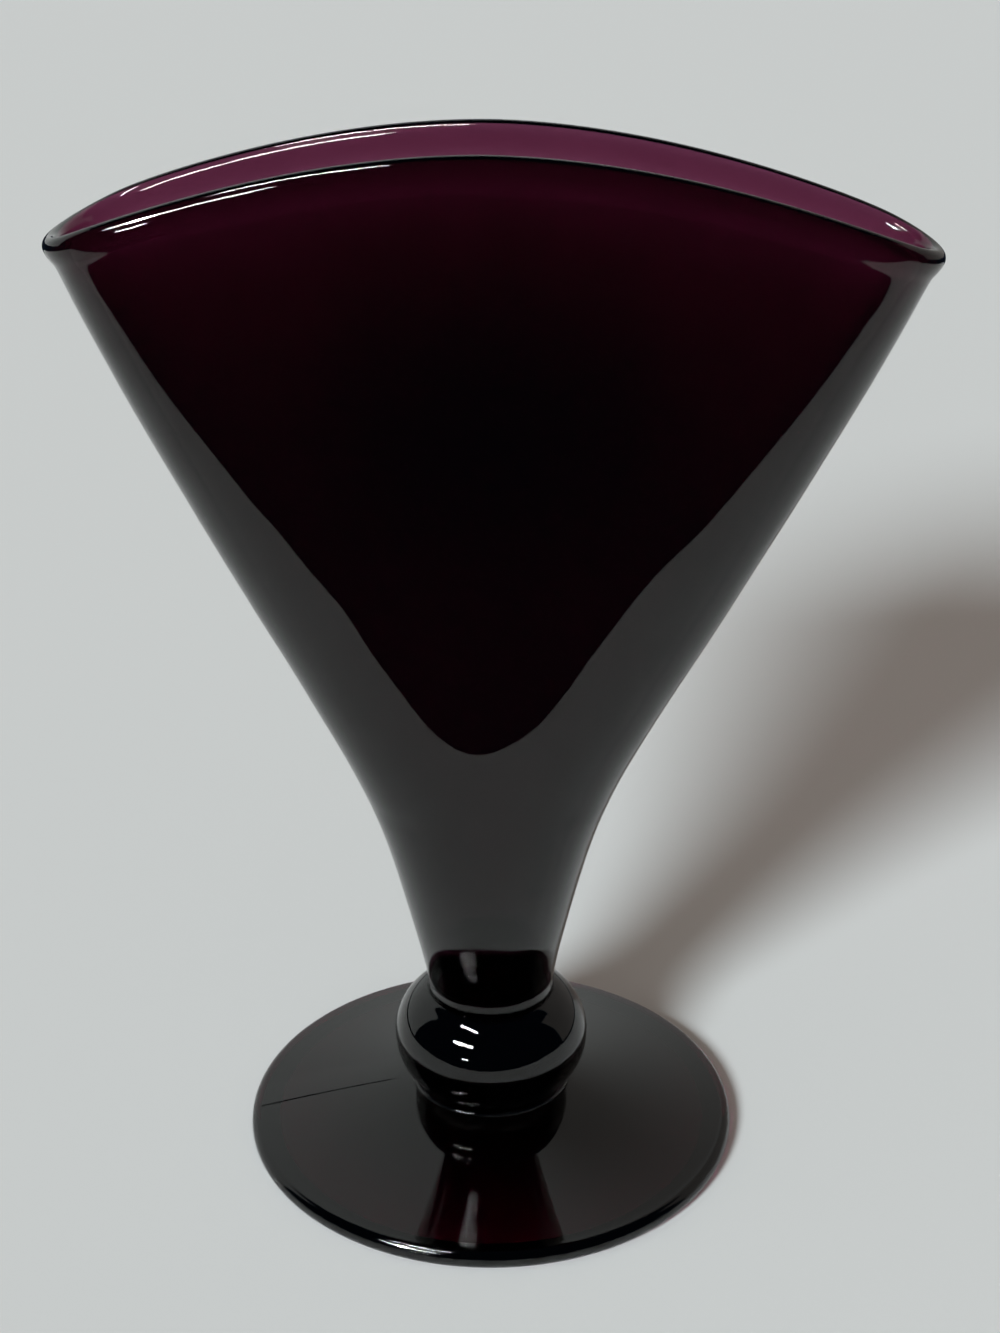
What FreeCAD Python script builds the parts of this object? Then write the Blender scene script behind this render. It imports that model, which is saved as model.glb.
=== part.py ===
import FreeCAD
import Part

import math
import os

from FreeCAD import Vector

# Footed fan vase in blown glass.
# Millimetres, +Z up, +X along the wide mouth, origin in the middle of the foot's rest plane.

# Overall size
height = 216.8
mouth_tip_height = 198.3
mouth_width = 168.6
mouth_depth = 36.8

# Foot
foot_radius = 53.0
foot_edge_thickness = 4.2
foot_centre_height = 11.4
foot_rest_width = 4.5
foot_hollow_depth = 6.0
pontil_radius = 11.0
pontil_depth = 0.8
pontil_bow_share = 0.25

# Merese, the wafer that joins knop and foot
merese_radius = 17.4
merese_height = 1.3
merese_edge_bulge = 0.55

# Knop
knop_radius = 20.9
knop_height = 21.7
knop_equator_height = 10.2
knop_waist_radius = 16.0

# Neck of the bowl
neck_radius = 12.7
neck_flare_share = 0.228
neck_base_swell = 1.0
neck_base_reach = 2.0
base_reach_ratio = 3.0
throat_height = 82.4
throat_softness = 2.3
neck_wall = 6.0
floor_thickness = 9.5
floor_dome_height = 7.0
floor_flat_share = 0.2

# Fan of the bowl
fan_side_bow = 2.1
face_height = 83.0
face_softness = 3.3
mouth_wall = 3.2
lip_swell = 0.7
lip_reach = 7.0

# The plan of a course is an oval at flatness 0, and more and more an oblong with round ends.
# The growths say how late on the way up the fan its flat plan and its arch come in.
# The arch is a parabola at roundness 2, and falls sooner from its middle below that.
neck_flatness_ratio = 0.05
mouth_flatness_ratio = 4.5
flatness_growth = 1.6
arch_growth = 1.35
arch_roundness = 1.85

# Counts
ring_point_count = 48
base_course_count = 4
neck_course_count = 5
fan_course_count = 9
bead_course_count = 3
lip_course_count = 7
floor_course_count = 4

# Step of the differences that give the wall's direction
slope_step_share = 0.001

merese_top = foot_centre_height + merese_height
knop_top = merese_top + knop_height
lip_radius = (mouth_wall + lip_swell) / 2
rim_tip_z = mouth_tip_height - lip_radius
rim_apex_z = height - lip_radius
fan_height = rim_tip_z - throat_height
bowl_height = rim_tip_z - knop_top
floor_z = knop_top + floor_thickness
floor_start_z = floor_z + floor_dome_height
base_top_z = knop_top + base_reach_ratio * neck_base_reach
merese_face_radius = merese_radius - merese_edge_bulge


def at(radius, z):
    return Vector(radius, 0, z)


def turned(edges):
    """Solid made by turning a closed outline in the XZ plane once about Z."""
    face = Part.Face(Part.Wire(edges))
    return face.revolve(Vector(0, 0, 0), Vector(0, 0, 1), 360)


def bowed(start, end, bow):
    """Arc from start to end whose middle stands out by bow, to the right of its way."""
    way = end - start
    right = Vector(way.z, 0, -way.x).normalize()
    return Part.Arc(start, (start + end) * 0.5 + right * bow, end).toShape()


def ball_arc(equator, end):
    """Arc that leaves the equator upright and ends at end, above or below it."""
    rise = end.z - equator.z
    inset = equator.x - end.x
    radius = (rise ** 2 + inset ** 2) / (2 * inset)
    half_turn = math.atan2(rise, radius - inset) / 2
    middle = at(equator.x - radius + radius * math.cos(half_turn),
                equator.z + radius * math.sin(half_turn))
    return Part.Arc(equator, middle, end).toShape()


def make_foot():
    edge_radius = foot_edge_thickness / 2
    rest_radius = foot_radius - edge_radius
    dish = at(0, foot_hollow_depth + pontil_depth)
    dish_edge = at(pontil_radius, foot_hollow_depth)
    hollow_edge = at(rest_radius - foot_rest_width, 0)
    rest_edge = at(rest_radius, 0)
    edge_top = at(rest_radius, foot_edge_thickness)
    seat_edge = at(merese_face_radius, foot_centre_height)
    seat_centre = at(0, foot_centre_height)
    return turned([
        bowed(dish, dish_edge, -pontil_depth * pontil_bow_share),
        Part.makeLine(dish_edge, hollow_edge),
        Part.makeLine(hollow_edge, rest_edge),
        bowed(rest_edge, edge_top, edge_radius),
        Part.makeLine(edge_top, seat_edge),
        Part.makeLine(seat_edge, seat_centre),
        Part.makeLine(seat_centre, dish),
    ])


def make_merese():
    low_centre = at(0, foot_centre_height)
    low_edge = at(merese_face_radius, foot_centre_height)
    high_edge = at(merese_face_radius, merese_top)
    high_centre = at(0, merese_top)
    return turned([
        Part.makeLine(low_centre, low_edge),
        bowed(low_edge, high_edge, merese_edge_bulge),
        Part.makeLine(high_edge, high_centre),
        Part.makeLine(high_centre, low_centre),
    ])


def make_knop():
    low_centre = at(0, merese_top)
    waist = at(knop_waist_radius, merese_top)
    equator = at(knop_radius, merese_top + knop_equator_height)
    crown = at(neck_line(knop_top), knop_top)
    high_centre = at(0, knop_top)
    return turned([
        Part.makeLine(low_centre, waist),
        ball_arc(equator, waist),
        ball_arc(equator, crown),
        Part.makeLine(crown, high_centre),
        Part.makeLine(high_centre, low_centre),
    ])


def fan_share(z):
    """How far up the fan the tips of a course stand, 0 at and below the throat."""
    return max(z - throat_height, 0) / fan_height


def softness_share(z):
    """Corners of the side and face lines soften from none at the knop to full at the throat."""
    return min((z - knop_top) / (throat_height - knop_top), 1)


def neck_line(z):
    """Cone of the neck, which swells again where it stands on the knop."""
    swell = neck_base_swell * math.exp((knop_top - z) / neck_base_reach)
    return neck_radius + neck_flare_share * (z - knop_top) + swell


def half_width(z):
    """The narrow neck line and the wide fan line, joined by a soft corner at the throat."""
    start = neck_line(throat_height)
    fan_edge = mouth_width / 2 - lip_swell / 2
    rise = (z - throat_height) / fan_height
    bow = 4 * fan_side_bow * max(rise, 0) * (1 - rise)
    fan_line = start + (fan_edge - start) * rise + bow
    mean = (neck_line(z) + fan_line) / 2
    gap = (neck_line(z) - fan_line) / 2
    return mean + math.hypot(gap, throat_softness * softness_share(z))


def half_depth(z):
    """The neck line, which turns into the line of the flat faces: these close in towards the mouth."""
    start = neck_line(face_height)
    face_edge = mouth_depth / 2 - lip_swell / 2
    face_line = start + (face_edge - start) * (z - face_height) / (rim_tip_z - face_height)
    mean = (neck_line(z) + face_line) / 2
    gap = (neck_line(z) - face_line) / 2
    return mean - math.hypot(gap, face_softness * softness_share(z))


def skin_point(turn_share, z):
    """Point of the bowl's outer skin, on the course whose tips stand at height z."""
    angle = 2 * math.pi * turn_share
    flatness = neck_flatness_ratio + mouth_flatness_ratio * fan_share(z) ** flatness_growth
    spread = math.tanh(flatness * math.cos(angle)) / math.tanh(flatness)
    end_radius = half_depth(z)
    x = (half_width(z) - end_radius) * spread + end_radius * math.cos(angle)
    y = end_radius * math.sin(angle)
    arch = (rim_apex_z - rim_tip_z) * fan_share(z) ** arch_growth
    return Vector(x, y, z + arch * (1 - abs(x / half_width(z)) ** arch_roundness))


def wall_frame(turn_share, z):
    """Skin point with the directions out of the wall and up along it."""
    turn_step = slope_step_share
    rise_step = slope_step_share * bowl_height
    along = skin_point(turn_share + turn_step, z) - skin_point(turn_share - turn_step, z)
    upward = skin_point(turn_share, z + rise_step) - skin_point(turn_share, z)
    outward = along.cross(upward).normalize()
    return skin_point(turn_share, z), outward, outward.cross(along).normalize()


def wall_at(z):
    share = (z - knop_top) / bowl_height
    return neck_wall + (mouth_wall - neck_wall) * share


def swell_at(z):
    """Thickening of the wall towards the lip, the same on both sides."""
    share = max((z - rim_tip_z + lip_reach) / lip_reach, 0)
    return lip_swell / 2 * share ** 2 * (3 - 2 * share)


def outer_point(turn_share, z):
    point, outward, up = wall_frame(turn_share, z)
    return point + outward * swell_at(z)


def inner_point(turn_share, z):
    point, outward, up = wall_frame(turn_share, z)
    return point - outward * (wall_at(z) + swell_at(z))


def lip_point(turn_share, over_share):
    """Point of the round lip, from its outer edge over the crest to its inner edge."""
    point, outward, up = wall_frame(turn_share, rim_tip_z)
    centre = point - outward * (mouth_wall / 2)
    angle = math.pi * over_share
    return centre + (outward * math.cos(angle) + up * math.sin(angle)) * lip_radius


def floor_point(turn_share, down_share):
    """Point of the rounded end of the hollow, from its wall down to its flat middle."""
    start = inner_point(turn_share, floor_start_z)
    angle = math.pi / 2 * down_share
    spread = floor_flat_share + (1 - floor_flat_share) * math.cos(angle)
    return Vector(start.x * spread,
                  start.y * spread,
                  floor_z + (start.z - floor_z) * (1 - math.sin(angle)))


def ring(point_at, step):
    """Closed smooth curve through the points of one course."""
    shares = [index / ring_point_count for index in range(ring_point_count)]
    curve = Part.BSplineCurve()
    curve.interpolate(Points=[point_at(share, step) for share in shares],
                      PeriodicFlag=True, Parameters=shares + [1.0])
    return curve


def skin(point_at, steps):
    """Smooth closed surface through the courses at all the steps."""
    rings = [ring(point_at, step) for step in steps]
    stations = [(step - steps[0]) / (steps[-1] - steps[0]) for step in steps]
    columns = []
    for number in range(1, rings[0].NbPoles + 1):
        column = Part.BSplineCurve()
        column.interpolate(Points=[course.getPole(number) for course in rings], Parameters=stations)
        columns.append(column)
    round_way = rings[0]
    up_way = columns[0]
    surface = Part.BSplineSurface()
    surface.buildFromPolesMultsKnots([column.getPoles() for column in columns],
                                     round_way.getMultiplicities(), up_way.getMultiplicities(),
                                     round_way.getKnots(), up_way.getKnots(), True, False,
                                     round_way.Degree, up_way.Degree)
    return surface.toShape()


def disc(point_at, step):
    return Part.Face(Part.Wire(ring(point_at, step).toShape()))


def evenly(start, end, count):
    return [start + (end - start) * index / count for index in range(count + 1)]


def make_bowl():
    neck = evenly(knop_top, base_top_z, base_course_count)
    neck += evenly(base_top_z, throat_height, neck_course_count)[1:]
    inside_neck = evenly(floor_start_z, throat_height, neck_course_count)
    fan = evenly(throat_height, rim_tip_z - lip_reach, fan_course_count)[1:]
    bead = evenly(rim_tip_z - lip_reach, rim_tip_z, bead_course_count)[1:]
    shell = Part.Shell([
        disc(outer_point, knop_top),
        skin(outer_point, neck + fan + bead),
        skin(lip_point, evenly(0, 1, lip_course_count)),
        skin(inner_point, inside_neck + fan + bead),
        skin(floor_point, evenly(0, 1, floor_course_count)),
        disc(floor_point, 1),
    ])
    shell.sewShape()
    return Part.Solid(shell)


os.makedirs("parts", exist_ok=True)
nodes = {
    "foot": make_foot(),
    "merese": make_merese(),
    "knop": make_knop(),
    "fan_bowl": make_bowl(),
}
for name, shape in nodes.items():
    if shape.Volume < 0:
        shape.reverse()
    print(name, shape.ShapeType, shape.isValid(), round(shape.Volume), shape.BoundBox)
    shape.exportStep("parts/" + name + ".step")
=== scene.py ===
import math

import bpy
import numpy as np
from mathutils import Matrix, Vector


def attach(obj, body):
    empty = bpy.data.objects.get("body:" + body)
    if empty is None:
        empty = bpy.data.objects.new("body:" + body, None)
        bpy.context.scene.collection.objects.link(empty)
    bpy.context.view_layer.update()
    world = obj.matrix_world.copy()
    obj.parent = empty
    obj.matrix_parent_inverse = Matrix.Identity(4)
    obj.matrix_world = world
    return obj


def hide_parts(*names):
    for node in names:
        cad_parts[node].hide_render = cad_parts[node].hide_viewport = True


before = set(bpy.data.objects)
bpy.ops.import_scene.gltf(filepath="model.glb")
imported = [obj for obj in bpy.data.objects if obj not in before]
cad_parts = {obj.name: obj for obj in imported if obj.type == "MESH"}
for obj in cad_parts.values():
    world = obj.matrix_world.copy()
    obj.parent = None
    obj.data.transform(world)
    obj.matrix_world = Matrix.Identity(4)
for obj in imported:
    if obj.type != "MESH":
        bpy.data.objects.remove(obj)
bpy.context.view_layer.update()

# Footed fan vase in dark amethyst glass.
# Sizes of the vase are in millimetres, as in the part's source, and MM turns them into metres.
# The material, the stage, the lamps and the camera are in metres.
MM = 0.001

# Overall size
height = 216.8
mouth_tip_height = 198.3
mouth_width = 168.6
mouth_depth = 36.8

# Foot
foot_radius = 53.0
foot_edge_thickness = 4.2
foot_centre_height = 11.4
foot_rest_width = 4.5
foot_hollow_depth = 6.0
pontil_radius = 11.0
pontil_depth = 0.8

# Merese, the wafer that joins knop and foot
merese_radius = 17.4
merese_height = 1.3
merese_edge_bulge = 0.55

# Knop
knop_radius = 20.9
knop_height = 21.7
knop_equator_height = 10.2
knop_waist_radius = 16.0

# Neck of the bowl
neck_radius = 12.7
neck_flare_share = 0.228
neck_base_swell = 1.0
neck_base_reach = 2.0
throat_height = 82.4
throat_softness = 2.3
neck_wall = 6.0
floor_thickness = 9.5
floor_dome_height = 7.0
floor_flat_share = 0.2

# Fan of the bowl
fan_side_bow = 2.1
face_height = 83.0
face_softness = 3.3
mouth_wall = 3.2
lip_swell = 0.7
neck_flatness = 0.05
mouth_flatness = 4.5
flatness_growth = 1.6
arch_growth = 1.35
arch_roundness = 1.85

merese_top = foot_centre_height + merese_height
knop_top = merese_top + knop_height
lip_radius = (mouth_wall + lip_swell) / 2
rim_tip_z = mouth_tip_height - lip_radius
rim_apex_z = height - lip_radius
fan_height = rim_tip_z - throat_height
bowl_height = rim_tip_z - knop_top
floor_z = knop_top + floor_thickness
floor_start_z = floor_z + floor_dome_height

# The sizes from here on are in this visual model alone. They move its faces by some millimetres from
# those of the sound shape in the CAD, but not out of the CAD's box.
# The body leans to one side between the knop and the mouth. At its left end the mouth is deeper
# than the sound shape's, and at its right end shallower, by up to this share.
body_lean = 0.65
mouth_taper = 0.20
taper_growth = 0.5

# The fan keeps its wall up to a last stretch of about this length, where it thins towards the lip.
# This wall and the boss were set together with the glass's colour to match the photo. Neither is measured.
body_wall = 5.0
wall_thinning_reach = 17.0

# The hollow side of the fan is thickest in the middle of its upper faces.
boss_thickness = 1.5
boss_height = 160.0
boss_half_height = 26.0
boss_half_width = 34.0

# The fire-polished lip is a tall roll, which a shallow crease parts from the wall below it.
# Its crest is lowered a little, so that it stays inside the CAD's box.
lip_height = 3.0
lip_fall = 0.1
roll_drop = 4.4
crease_drop = 4.5
crease_depth = 0.24
crease_reach_above = 1.3
crease_reach_below = 4.5
roll_z = rim_tip_z + lip_radius - lip_height

# The domed top of the foot sags a little below the straight line from its edge to the merese,
# and its hollow is shallower than the sound shape's, so that the glass in front of the knop is darker.
foot_top_sag = 0.5
hollow_fill = 2.0

# The turned pieces fall short of a true circle by up to this much. The knop's lobes also turn on their
# way up, by one radian in this height.
foot_stray = 0.12
knop_stray = 0.05
knop_twist_height = 9.0

# The gathers stay a hair apart, so that no two faces lie in one another.
seam_gap = 0.02

# Long, low waves in the bowl's two skins: a size with its turns along u and v, and a phase.
# The outer ones fade out towards the knop, and both towards the lip.
outer_waves = [
    (0.050, 1 / 61.0, 1 / 83.0, 0.4),
    (0.040, -1 / 47.0, 1 / 71.0, 1.9),
    (0.026, 1 / 29.0, 1 / 53.0, 3.1),
    (0.018, -1 / 23.0, 1 / 37.0, 5.2),
    (0.012, 1 / 15.0, -1 / 41.0, 2.2),
]
inner_waves = [
    (0.060, 1 / 41.0, 1 / 97.0, 2.7),
    (0.045, -1 / 27.0, 1 / 88.0, 0.8),
    (0.030, 1 / 17.0, 1 / 61.0, 4.4),
    (0.016, -1 / 11.0, 1 / 73.0, 1.1),
]
wave_slant = 0.6
low_fade_reach = 12.0
high_fade_reach = 9.0

# Steps of the differences that give the wall's direction
turn_step = 0.0005
rise_step = 0.1

# Points and rings of the bowl's mesh. Over fine_reach below the roll its rings lie closer together.
bowl_turn_count = 320
even_share = 0.75
even_sample_count = 4001
seat_ring_shares = (0.25, 0.6, 0.85, 0.97)
outside_count = 105
fine_reach = 12.0
fine_count = 31
lip_count = 33
inside_count = 90
floor_count = 13

# Points of the turned pieces' meshes, around them and along their profiles
foot_turn_count = 320
merese_turn_count = 200
knop_turn_count = 220
centre_radius = 0.5
repeat_distance = 1e-6
seat_count = 8
pontil_count = 20
hollow_count = 50
edge_count = 24
dome_count = 90
foot_seat_count = 12
bulge_count = 20
knop_low_count = 30
knop_high_count = 36


def fan_share(z):
    """How far up the fan the tips of a course stand, 0 at and below the throat."""
    return max(z - throat_height, 0) / fan_height


def softness_share(z):
    """Corners of the side and face lines soften from none at the knop to full at the throat."""
    return min((z - knop_top) / (throat_height - knop_top), 1)


def neck_line(z):
    """Cone of the neck, which swells again where it stands on the knop."""
    swell = neck_base_swell * math.exp((knop_top - z) / neck_base_reach)
    return neck_radius + neck_flare_share * (z - knop_top) + swell


def half_width(z):
    """The narrow neck line and the wide fan line, joined by a soft corner at the throat."""
    start = neck_line(throat_height)
    fan_edge = mouth_width / 2 - lip_swell / 2
    rise = (z - throat_height) / fan_height
    bow = 4 * fan_side_bow * max(rise, 0) * (1 - rise)
    fan_line = start + (fan_edge - start) * rise + bow
    mean = (neck_line(z) + fan_line) / 2
    gap = (neck_line(z) - fan_line) / 2
    return mean + math.hypot(gap, throat_softness * softness_share(z))


def half_depth(z):
    """The neck line, which turns into the line of the flat faces: these close in towards the mouth."""
    start = neck_line(face_height)
    face_edge = mouth_depth / 2 - lip_swell / 2
    face_line = start + (face_edge - start) * (z - face_height) / (rim_tip_z - face_height)
    mean = (neck_line(z) + face_line) / 2
    gap = (neck_line(z) - face_line) / 2
    return mean - math.hypot(gap, face_softness * softness_share(z))


def skin_points(turns, z):
    """Points of the outer skin on the course whose tips stand at height z, for an array of turns."""
    angle = 2 * math.pi * turns
    flatness = neck_flatness + mouth_flatness * fan_share(z) ** flatness_growth
    spread = np.tanh(flatness * np.cos(angle)) / math.tanh(flatness)
    end_radius = half_depth(z)
    x = (half_width(z) - end_radius) * spread + end_radius * np.cos(angle)
    across = x / half_width(z)
    taper = mouth_taper * fan_share(z) ** taper_growth
    y = end_radius * np.sin(angle) * (1 - taper * across)
    arch = (rim_apex_z - rim_tip_z) * fan_share(z) ** arch_growth
    rise = min(max((z - knop_top) / bowl_height, 0), 1)
    lean = body_lean * math.sin(math.pi * rise)
    return np.stack([x - lean, y, z + arch * (1 - np.abs(across) ** arch_roundness)], axis=1)


def unit(rows):
    return rows / np.linalg.norm(rows, axis=1, keepdims=True)


def wall_frames(turns, z):
    """Points of the outer skin with the directions out of the wall and up along it."""
    here = skin_points(turns, z)
    along = skin_points(turns + turn_step, z) - skin_points(turns - turn_step, z)
    upward = skin_points(turns, z + rise_step) - here
    outward = unit(np.cross(along, upward))
    return here, outward, unit(np.cross(outward, along))


def wall_at(z):
    thinner = (body_wall - mouth_wall) * math.exp((z - rim_tip_z) / wall_thinning_reach)
    return neck_wall + (body_wall - neck_wall) * (z - knop_top) / bowl_height - thinner


def boss_at(points):
    across = points[:, 0] / boss_half_width
    upward = (points[:, 2] - boss_height) / boss_half_height
    return boss_thickness * np.exp(-across ** 2 - upward ** 2)


def smooth_step(share):
    share = min(max(share, 0), 1)
    return share ** 2 * (3 - 2 * share)


def swell_at(z):
    """How far the lip's roll stands proud of the wall on each side."""
    drop = rim_tip_z - z
    return lip_swell / 2 * smooth_step((roll_drop - drop) / (roll_drop + lip_radius - lip_height))


def crease_at(z):
    """How far the outer skin lies back in the crease under the roll."""
    drop = rim_tip_z - z
    reach = crease_reach_above if drop < crease_drop else crease_reach_below
    return crease_depth * math.exp(-((drop - crease_drop) / reach) ** 2)


def even_turns(count):
    """Turn shares that spread a ring's points over the mouth, closer together at its two ends."""
    dense = np.linspace(0, 1, even_sample_count)
    points = skin_points(dense, rim_tip_z)
    steps = np.linalg.norm(np.diff(points, axis=0), axis=1)
    way = np.concatenate([[0], np.cumsum(steps)])
    mixed = even_share * way / way[-1] + (1 - even_share) * dense
    return np.interp(np.arange(count) / count, mixed, dense)


def waves(u, v, table):
    """Sum of the waves of a table at the places u and v."""
    total = np.zeros_like(u)
    for size, along_u, along_v, phase in table:
        total += size * np.sin(2 * math.pi * (along_u * u + along_v * v) + phase)
    return total


def waved(points, outward, table, fade):
    """Moves the points inward by the waves, which never move one outward."""
    shift = waves(points[:, 0] + wave_slant * points[:, 1], points[:, 2], table)
    highest = sum(size for size, along_u, along_v, phase in table)
    return points + outward * ((shift - highest) * fade)[:, None]


def seat_rings(turns):
    """Rings of the bowl's flat seat on the knop, from its middle outwards."""
    rings = []
    for share in seat_ring_shares:
        ring = skin_points(turns, knop_top)
        ring[:, :2] *= share
        ring[:, 2] = knop_top + seam_gap
        rings.append(ring)
    return rings


def outside_rings(turns):
    coarse = np.linspace(knop_top, roll_z - fine_reach, outside_count)
    fine = np.linspace(roll_z - fine_reach, roll_z, fine_count)
    rings = []
    for z in np.concatenate([coarse, fine[1:]]):
        here, outward, up = wall_frames(turns, z)
        points = here + outward * (swell_at(z) - crease_at(z))
        fade = smooth_step((z - knop_top) / low_fade_reach) * smooth_step((roll_z - z) / high_fade_reach)
        rings.append(waved(points, outward, outer_waves, fade))
    rings[0][:, 2] += seam_gap
    return rings


def lip_rings(turns):
    """Rings of the roll, half an ellipse from the outer skin over the crest to the inner skin."""
    here, outward, up = wall_frames(turns, roll_z)
    centre = here - outward * (wall_at(roll_z) / 2)
    half_wall = wall_at(roll_z) / 2 + swell_at(roll_z)
    crest_z = skin_points(turns, rim_tip_z)[:, 2] + lip_radius - lip_fall
    half_roll = (crest_z - centre[:, 2])[:, None] * up[:, 2:]
    return [centre + outward * (half_wall * math.cos(angle)) + up * (half_roll * math.sin(angle))
            for angle in np.linspace(0, math.pi, lip_count)[1:-1]]


def inside_rings(turns):
    fine = np.linspace(roll_z, roll_z - fine_reach, fine_count)
    coarse = np.linspace(roll_z - fine_reach, floor_start_z, inside_count)
    rings = []
    for z in np.concatenate([fine, coarse[1:]]):
        here, outward, up = wall_frames(turns, z)
        points = here - outward * (wall_at(z) + swell_at(z) + boss_at(here))[:, None]
        rings.append(waved(points, outward, inner_waves, smooth_step((roll_z - z) / high_fade_reach)))
    return rings


def floor_rings(start):
    """Rings of the rounded end of the hollow, from the ring at its wall down to its flat middle."""
    rings = []
    for angle in np.linspace(0, math.pi / 2, floor_count)[1:]:
        ring = start.copy()
        ring[:, :2] *= floor_flat_share + (1 - floor_flat_share) * math.cos(angle)
        ring[:, 2] = floor_z + (start[:, 2] - floor_z) * (1 - math.sin(angle))
        rings.append(ring)
    return rings


def bowl_rings():
    turns = even_turns(bowl_turn_count)
    rings = seat_rings(turns) + outside_rings(turns) + lip_rings(turns) + inside_rings(turns)
    return rings + floor_rings(rings[-1])


def stray(turns, most, lobes):
    """Shortfall from a true circle, by lobes that each have a share, a number and a phase."""
    return most * (1 + sum(share * np.sin(number * turns + phase) for share, number, phase in lobes)) / 2


def foot_wobble(turns, radius, z):
    most = foot_stray * min(radius / foot_radius, 1) ** 2
    return stray(turns, most, [(0.6, 2, 0.7), (0.4, 3, 2.1)])


def knop_wobble(turns, radius, z):
    return stray(turns, knop_stray, [(1, 2, 1.1 + z / knop_twist_height)])


def profile_rings(profile, count, wobble):
    """Rings of a turned profile, whose radii stray a little from the true circle."""
    turns = np.arange(count) / count * 2 * math.pi
    rings = []
    for radius, z in profile:
        strayed = radius - wobble(turns, radius, z)
        rings.append(np.stack([strayed * np.cos(turns), strayed * np.sin(turns), np.full(count, float(z))],
                              axis=1))
    return rings


def line_points(start, end, count):
    return [(start[0] + (end[0] - start[0]) * share, start[1] + (end[1] - start[1]) * share)
            for share in np.linspace(0, 1, count)]


def arc_points(start, end, bow, count):
    """Points of the arc from start to end whose middle stands out by bow, to the right of its way."""
    start = np.array(start, float)
    end = np.array(end, float)
    chord = np.linalg.norm(end - start)
    way = (end - start) / chord
    right = np.array([way[1], -way[0]])
    radius = (chord ** 2 / 4 + bow ** 2) / (2 * abs(bow))
    centre = (start + end) / 2 + right * (bow - math.copysign(radius, bow))
    first = start - centre
    last = end - centre
    begin = math.atan2(first[1], first[0])
    turn = math.atan2(first[0] * last[1] - first[1] * last[0], first @ last)
    angles = begin + turn * np.linspace(0, 1, count)
    return [(centre[0] + radius * math.cos(angle), centre[1] + radius * math.sin(angle)) for angle in angles]


def ball_points(equator, end, count):
    """Points of the arc that leaves the equator upright and ends at end, above or below it."""
    rise = end[1] - equator[1]
    inset = equator[0] - end[0]
    radius = (rise ** 2 + inset ** 2) / (2 * inset)
    turn = math.atan2(rise, radius - inset)
    return [(equator[0] - radius + radius * math.cos(turn * share),
             equator[1] + radius * math.sin(turn * share))
            for share in np.linspace(0, 1, count)]


def without_repeats(profile):
    """Drops a point that repeats the one before it."""
    kept = [profile[0]]
    for point in profile[1:]:
        if math.dist(point, kept[-1]) > repeat_distance:
            kept.append(point)
    return kept


def foot_profile():
    edge_radius = foot_edge_thickness / 2
    rest_radius = foot_radius - edge_radius
    hollow_top = foot_hollow_depth - hollow_fill
    seat_z = foot_centre_height - seam_gap
    dish = (centre_radius, hollow_top + pontil_depth)
    dish_edge = (pontil_radius, hollow_top)
    hollow_edge = (rest_radius - foot_rest_width, 0)
    rest_edge = (rest_radius, 0)
    edge_top = (rest_radius, foot_edge_thickness)
    seat_edge = merese_radius - merese_edge_bulge
    return (line_points(dish, dish_edge, pontil_count)
            + line_points(dish_edge, hollow_edge, hollow_count)
            + line_points(hollow_edge, rest_edge, seat_count)
            + arc_points(rest_edge, edge_top, edge_radius, edge_count)
            + arc_points(edge_top, (seat_edge, foot_centre_height), -foot_top_sag, dome_count)
            + line_points((seat_edge, seat_z), (centre_radius, seat_z), foot_seat_count))


def merese_profile():
    low_z = foot_centre_height + seam_gap
    high_z = merese_top - seam_gap
    face_radius = merese_radius - merese_edge_bulge
    return (line_points((centre_radius, low_z), (face_radius, low_z), seat_count)
            + arc_points((face_radius, low_z), (face_radius, high_z), merese_edge_bulge, bulge_count)
            + line_points((face_radius, high_z), (centre_radius, high_z), seat_count))


def knop_profile():
    low_z = merese_top + seam_gap
    high_z = knop_top - seam_gap
    equator = (knop_radius, merese_top + knop_equator_height)
    waist = (knop_waist_radius, low_z)
    crown = (neck_line(knop_top), high_z)
    return (line_points((centre_radius, low_z), waist, seat_count)
            + ball_points(equator, waist, knop_low_count)[::-1]
            + ball_points(equator, crown, knop_high_count)
            + line_points(crown, (centre_radius, high_z), seat_count))


def ring_faces(ring_count, count):
    """Faces between stacked rings, and round a point at each end, which come after the rings' points."""
    faces = []
    for low in range(0, (ring_count - 1) * count, count):
        high = low + count
        for index in range(count):
            after = (index + 1) % count
            faces.append((low + index, low + after, high + after, high + index))
    low_point = ring_count * count
    last = low_point - count
    for index in range(count):
        after = (index + 1) % count
        faces.append((low_point, after, index))
        faces.append((low_point + 1, last + index, last + after))
    return faces


def linked_object(name, data):
    piece = bpy.data.objects.new(name, data)
    bpy.context.scene.collection.objects.link(piece)
    return piece


def closed_piece(name, rings, low_z, high_z, material):
    """Closed mesh of stacked rings, with points on the axis that close its first and its last ring."""
    vertices = np.concatenate(rings + [[(0, 0, low_z), (0, 0, high_z)]])
    faces = ring_faces(len(rings), len(rings[0]))
    mesh = bpy.data.meshes.new(name)
    mesh.from_pydata((vertices * MM).tolist(), [], faces)
    mesh.polygons.foreach_set("use_smooth", [True] * len(faces))
    mesh.materials.append(material)
    mesh.validate()
    mesh.update()
    return linked_object(name, mesh)


def turned_piece(name, profile, count, wobble, material):
    rings = profile_rings(without_repeats(profile), count, wobble)
    return closed_piece(name, rings, profile[0][1], profile[-1][1], material)


def add_node(tree, kind, inputs, **settings):
    """Adds a node. Each input is a plain value, or another node's output, which is linked to it."""
    node = tree.nodes.new(kind)
    for name, value in settings.items():
        setattr(node, name, value)
    for key, value in inputs.items():
        if isinstance(value, bpy.types.NodeSocket):
            tree.links.new(value, node.inputs[key])
        else:
            node.inputs[key].default_value = value
    return node


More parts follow.
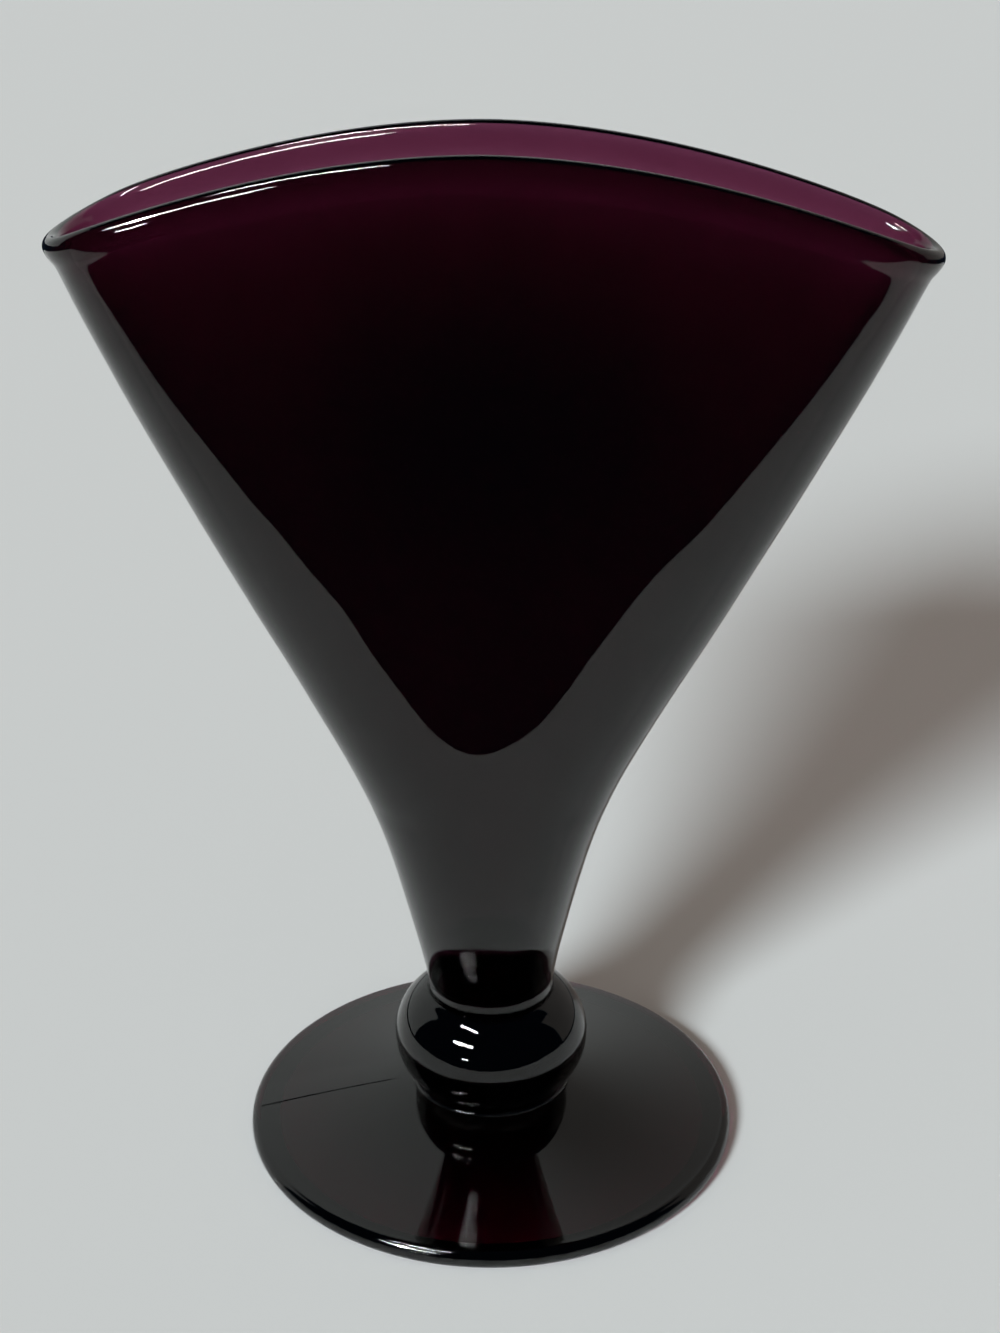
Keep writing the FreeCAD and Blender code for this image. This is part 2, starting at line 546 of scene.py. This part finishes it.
def maths(tree, operation, *values):
    return add_node(tree, "ShaderNodeMath", dict(enumerate(values)), operation=operation).outputs[0]


def clamped(tree, value):
    return maths(tree, "MINIMUM", maths(tree, "MAXIMUM", value, 0), 1)


def noise(tree, place, scale, detail):
    inputs = {"Vector": place, "Scale": scale, "Detail": detail}
    return add_node(tree, "ShaderNodeTexNoise", inputs).outputs["Fac"]


def relief(tree, height, strength, depth, other_inputs):
    inputs = {"Height": height, "Strength": strength, "Distance": depth, **other_inputs}
    return add_node(tree, "ShaderNodeBump", inputs).outputs["Normal"]


def object_place(tree):
    return add_node(tree, "ShaderNodeTexCoord", {}).outputs["Object"]


def empty_material(name):
    material = bpy.data.materials.new(name)
    material.use_nodes = True
    material.node_tree.nodes.clear()
    return material


# Glass. Over d metres it lets through exp(-(1 - colour) * density * d) of each colour.
glass_colour = (0.489, 0.044, 0.289, 1)
glass_density = 900
glass_bending = 1.5

# Faint upright streaks tint the skin and ripple it, and patches of fine haze roughen it.
streak_stretch = (1.0, 1.0, 0.25)
streak_scale = 55
streak_detail = 3
streak_tints = [(0.35, (0.94, 0.92, 0.93, 1)), (0.65, (1, 1, 1, 1))]
ripple_strength = 0.12
ripple_depth = 0.0002
haze_scale = 180
haze_detail = 4
haze_start = 0.3
haze_end = 0.8
haze_roughness = 0.035

# The foot, which is the glass below worn_top_z, has the grain of fine wear.
worn_top_z = 0.0116
grain_scale = 1100
grain_detail = 2
grain_strength = 0.25
grain_depth = 0.000008

# One fine fold runs over the foot's top, from near its left edge almost to the merese. It is a step
# up along a parabola, and behind the step the glass sinks away again.
fold_apex_x = -0.019
fold_apex_y = -0.0027
fold_curve = -4.2
fold_step_width = 0.0004
fold_back_reach = 0.009
fold_end_x = -0.0195
fold_end_fade = 0.005
fold_depth = 0.0002


def streak_tint(tree, streak):
    ramp = add_node(tree, "ShaderNodeValToRGB", {"Fac": streak})
    for stop, (position, colour) in zip(ramp.color_ramp.elements, streak_tints):
        stop.position = position
        stop.color = colour
    return ramp.outputs["Color"]


def haze_over(tree, place):
    inputs = {
        "Value": noise(tree, place, haze_scale, haze_detail),
        "From Min": haze_start,
        "From Max": haze_end,
        "To Min": 0.0,
        "To Max": haze_roughness,
    }
    return add_node(tree, "ShaderNodeMapRange", inputs).outputs["Result"]


def fold_height(tree, x, y, z, on_foot):
    inward = maths(tree, "SUBTRACT", x, fold_apex_x)
    fold_y = maths(tree, "MULTIPLY_ADD", maths(tree, "MULTIPLY", inward, inward), fold_curve, fold_apex_y)
    behind = maths(tree, "SUBTRACT", y, fold_y)
    step_up = clamped(tree, maths(tree, "DIVIDE", behind, fold_step_width))
    step_back = clamped(tree, maths(tree, "MULTIPLY_ADD", behind, -1 / fold_back_reach, 1))
    end = clamped(tree, maths(tree, "MULTIPLY_ADD", x, -1 / fold_end_fade, fold_end_x / fold_end_fade))
    on_top = maths(tree, "MULTIPLY", maths(tree, "GREATER_THAN", z, foot_edge_thickness * MM), on_foot)
    step = maths(tree, "MULTIPLY", step_up, step_back)
    return maths(tree, "MULTIPLY", step, maths(tree, "MULTIPLY", end, on_top))


def glass_relief(tree, place, streak):
    """Ripples all over, then the fine wear and the fold of the foot."""
    rippled = relief(tree, streak, ripple_strength, ripple_depth, {})
    x, y, z = add_node(tree, "ShaderNodeSeparateXYZ", {0: place}).outputs
    on_foot = maths(tree, "LESS_THAN", z, worn_top_z)
    grain = maths(tree, "MULTIPLY", noise(tree, place, grain_scale, grain_detail), on_foot)
    worn = relief(tree, grain, grain_strength, grain_depth, {"Normal": rippled})
    return relief(tree, fold_height(tree, x, y, z, on_foot), 1.0, fold_depth, {"Normal": worn})


def glass_material():
    material = empty_material("amethyst_glass")
    tree = material.node_tree
    place = object_place(tree)
    stretched = add_node(tree, "ShaderNodeMapping", {"Vector": place, "Scale": streak_stretch})
    streak = noise(tree, stretched.outputs["Vector"], streak_scale, streak_detail)
    shader = add_node(tree, "ShaderNodeBsdfPrincipled", {
        "Transmission Weight": 1.0,
        "IOR": glass_bending,
        "Base Color": streak_tint(tree, streak),
        "Roughness": haze_over(tree, place),
        "Normal": glass_relief(tree, place, streak),
    })
    body = add_node(tree, "ShaderNodeVolumeAbsorption", {"Color": glass_colour, "Density": glass_density})
    add_node(tree, "ShaderNodeOutputMaterial", {
        "Surface": shader.outputs["BSDF"],
        "Volume": body.outputs["Volume"],
    })
    return material


glass = glass_material()
bowl = closed_piece("glass_bowl", bowl_rings(), knop_top + seam_gap, floor_z, glass)
foot = turned_piece("glass_foot", foot_profile(), foot_turn_count, foot_wobble, glass)
merese = turned_piece("glass_merese", merese_profile(), merese_turn_count, knop_wobble, glass)
knop = turned_piece("glass_knop", knop_profile(), knop_turn_count, knop_wobble, glass)

for piece, node in ((bowl, "fan_bowl"), (knop, "knop"), (merese, "merese"), (foot, "foot")):
    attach(piece, "root")
    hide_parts(node)


def sheet(name, corners, material):
    mesh = bpy.data.meshes.new(name)
    mesh.from_pydata(corners, [], [(0, 1, 2, 3)])
    mesh.materials.append(material)
    piece = linked_object(name, mesh)
    return piece


def level(x_start, x_end, y_start, y_end, z):
    """Corners of a level rectangle."""
    return [(x_start, y_start, z), (x_end, y_start, z), (x_end, y_end, z), (x_start, y_end, z)]


def wall_along_x(x_start, x_end, y, top):
    """Corners of an upright rectangle on the floor that runs along X."""
    return [(x_start, y, 0), (x_end, y, 0), (x_end, y, top), (x_start, y, top)]


def wall_along_y(x, y_start, y_end, top):
    """Corners of an upright rectangle on the floor that runs along Y."""
    return [(x, y_start, 0), (x, y_end, 0), (x, y_end, top), (x, y_start, top)]


def card(name, corners, colour):
    """Glowing card that only reflections show. Its colour may be a function of its node tree."""
    material = empty_material(name)
    tree = material.node_tree
    glow = add_node(tree, "ShaderNodeEmission", {"Color": colour(tree) if callable(colour) else colour})
    add_node(tree, "ShaderNodeOutputMaterial", {"Surface": glow.outputs[0]})
    piece = sheet(name, corners, material)
    for rays in ("camera", "diffuse", "shadow", "transmission", "volume_scatter"):
        setattr(piece, "visible_" + rays, False)


floor_reach = 9
pale_colour = (0.62, 0.63, 0.62, 1)
pale_roughness = 0.7
pale = bpy.data.materials.new("pale_floor")
pale.use_nodes = True
pale_shader = pale.node_tree.nodes["Principled BSDF"]
pale_shader.inputs["Base Color"].default_value = pale_colour
pale_shader.inputs["Roughness"].default_value = pale_roughness
pale_shader.inputs["Specular IOR Level"].default_value = 0.0
sheet("floor", level(-floor_reach, floor_reach, -floor_reach, floor_reach, 0), pale)

# The vase stands on a pale table in a dim room: dark cards round the table show in reflections only.
# The ceiling and the side walls are dark up to some way behind the vase, and open beyond that.
table_front = -0.200
table_back = 0.55
table_side = 0.50
room = 3.0
ceiling_back = 1.5
side_back = 0.3
card_lift = 0.0005
dim = (0.010, 0.015, 0.026, 1)
card("dark_floor_front", level(-room, room, -room, table_front, card_lift), dim)
card("dark_floor_back", level(-room, room, table_back, room, card_lift), dim)
card("dark_floor_left", level(-room, -table_side, table_front, table_back, card_lift), dim)
card("dark_floor_right", level(table_side, room, table_front, table_back, card_lift), dim)
card("dark_wall_front", wall_along_x(-room, room, -room, room), dim)
card("dark_ceiling", level(-room, room, -room, ceiling_back, room), dim)
card("dark_wall_left", wall_along_y(-room, -room, side_back, room), dim)
card("dark_wall_right", wall_along_y(room, -room, side_back, room), dim)

# Painted shade in reflections: behind the vase the room's glow is even on the left, and falls off
# towards the right, where the vase's shadow darkens the backdrop.
shade_left_x = 0.1
shade_right_x = 1.1
shade_top = 6.0
open_glow = (0.55, 0.58, 0.57, 1)
shaded_glow = (0.29, 0.275, 0.26, 1)


# Painted shade: the card's glow darkens from open_glow on the left to shaded_glow on the right.
def painted_shade_glow(tree):
    x = add_node(tree, "ShaderNodeSeparateXYZ", {0: object_place(tree)}).outputs["X"]
    span = {"Value": x, "From Min": shade_left_x, "From Max": shade_right_x}
    share = add_node(tree, "ShaderNodeMapRange", span).outputs[0]
    blend = add_node(tree, "ShaderNodeMix", {0: share, 6: open_glow, 7: shaded_glow}, data_type="RGBA")
    return blend.outputs[2]


card("shade_back", wall_along_x(0, room, room, shade_top), painted_shade_glow)
card("shade_side", wall_along_y(room, side_back, room, shade_top), shaded_glow)

# The world lights the floor softly with this colour. Camera, glass and reflections see open_glow.
lighting_colour = (1.0, 0.86, 0.78, 1)
lighting_strength = 0.275


def make_world():
    world = bpy.data.worlds.new("soft_room")
    bpy.context.scene.world = world
    world.use_nodes = True
    tree = world.node_tree
    tree.nodes.clear()
    lighting = add_node(tree, "ShaderNodeBackground",
                        {"Color": lighting_colour, "Strength": lighting_strength})
    seen = add_node(tree, "ShaderNodeBackground", {"Color": open_glow, "Strength": 1.0})
    rays = add_node(tree, "ShaderNodeLightPath", {}).outputs
    straight = maths(tree, "MAXIMUM", rays["Is Camera Ray"], rays["Is Transmission Ray"])
    any_seen = maths(tree, "MAXIMUM", straight, rays["Is Glossy Ray"])
    choice = add_node(tree, "ShaderNodeMixShader", {0: any_seen, 1: lighting.outputs[0], 2: seen.outputs[0]})
    add_node(tree, "ShaderNodeOutputWorld", {"Surface": choice.outputs[0]})


# Lamps aim at this height above the middle of the foot. A sun's distance doesn't change its light.
aim_height = 0.1
sun_distance = 3


def lamp_from(name, kind, left_degrees, up_degrees, distance):
    """Lamp that shines on the vase from a place left of straight ahead of it and above it."""
    left = math.radians(left_degrees)
    up = math.radians(up_degrees)
    way = Vector((-math.sin(left) * math.cos(up), -math.cos(left) * math.cos(up), math.sin(up)))
    lamp = linked_object(name, bpy.data.lights.new(name, kind))
    lamp.location = way * distance + Vector((0, 0, aim_height))
    lamp.rotation_mode = "QUATERNION"
    lamp.rotation_quaternion = way.to_track_quat("Z", "Y")
    lamp.visible_transmission = False
    return lamp


def sun(name, left_degrees, up_degrees, strength, spread_degrees, colour):
    """Soft light on the floor that no reflection shows."""
    lamp = lamp_from(name, "SUN", left_degrees, up_degrees, sun_distance)
    lamp.data.energy = strength
    lamp.data.angle = math.radians(spread_degrees)
    lamp.data.color = colour
    lamp.visible_glossy = False


def glint(name, left_degrees, up_degrees, distance, width, tall, watts):
    """Small window or tube that only shows as a highlight in the glass."""
    lamp = lamp_from(name, "AREA", left_degrees, up_degrees, distance)
    lamp.data.shape = "RECTANGLE"
    lamp.data.size = width
    lamp.data.size_y = tall
    lamp.data.energy = watts
    lamp.visible_diffuse = False


make_world()
sun("key", 27, 28, 4.8, 14, (0.88, 0.96, 1.0))
sun("front_fill", 10, 16, 0.3, 20, (1, 1, 1))
glint("window_middle", 34, 33.3, 1.6, 0.68, 0.15, 13)
glint("window_bright", 37, 33.3, 1.55, 0.09, 0.15, 90)
glint("window_low", 25, 7, 1.6, 0.20, 0.04, 3)
glint("window_high", 45, 63, 1.6, 0.60, 0.08, 12)

# Camera at the photo's place, looking down at the vase
camera_pitch_degrees = 24.76
camera_heading = 0.08
lens = bpy.data.cameras.new("photo_camera")
lens.sensor_fit = "HORIZONTAL"
lens.sensor_width = 36.0
lens.lens = 81.0
lens.clip_start = 0.01
lens.clip_end = 30.0
camera = linked_object("photo_camera", lens)
camera.location = (0.0350, -0.4123, 0.3009)
camera.rotation_mode = "XYZ"
camera.rotation_euler = (math.radians(90 - camera_pitch_degrees), 0, camera_heading)
bpy.context.scene.camera = camera

bpy.context.scene.view_settings.view_transform = "Standard"
